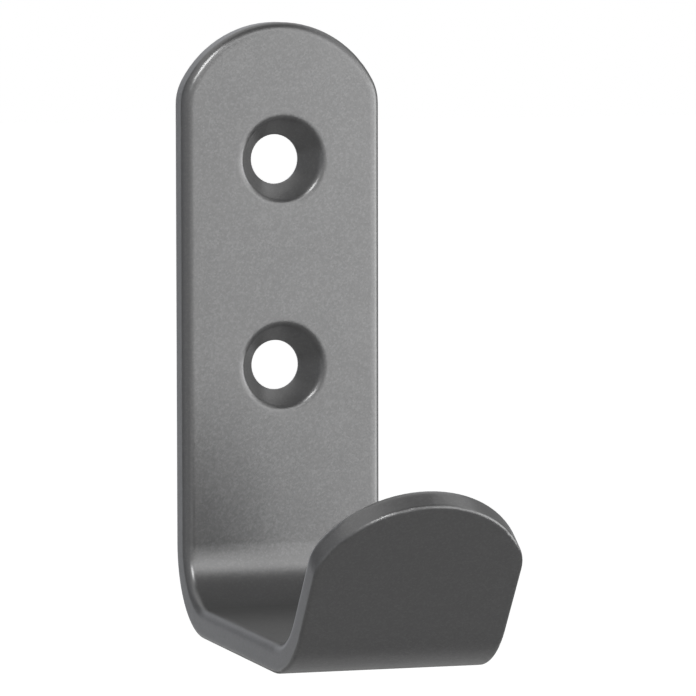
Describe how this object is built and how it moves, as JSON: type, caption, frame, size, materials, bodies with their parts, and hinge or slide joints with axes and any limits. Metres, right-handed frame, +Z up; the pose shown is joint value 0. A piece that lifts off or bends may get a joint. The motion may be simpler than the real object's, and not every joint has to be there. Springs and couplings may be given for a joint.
{
  "type": "wall coat hook",
  "caption": "Wall hook bent from one flat bar: a plate with two countersunk screw holes, a level shelf and an upturned lip, with arched ends and a metallic grey coat.",
  "frame": {"origin": "midway between the two screw holes, on the wall face of the plate", "axes": "+Z up along the plate, +Y into the wall, and the hook stands out towards -Y; +X is to the right as seen from the room"},
  "size_m": [0.025, 0.0578, 0.0744],
  "materials": {
    "coated_metal": "metallic grey powder coat, semi-gloss"
  },
  "bodies": {
    "root": {"hook": "coated_metal"}
  },
  "joints": []
}
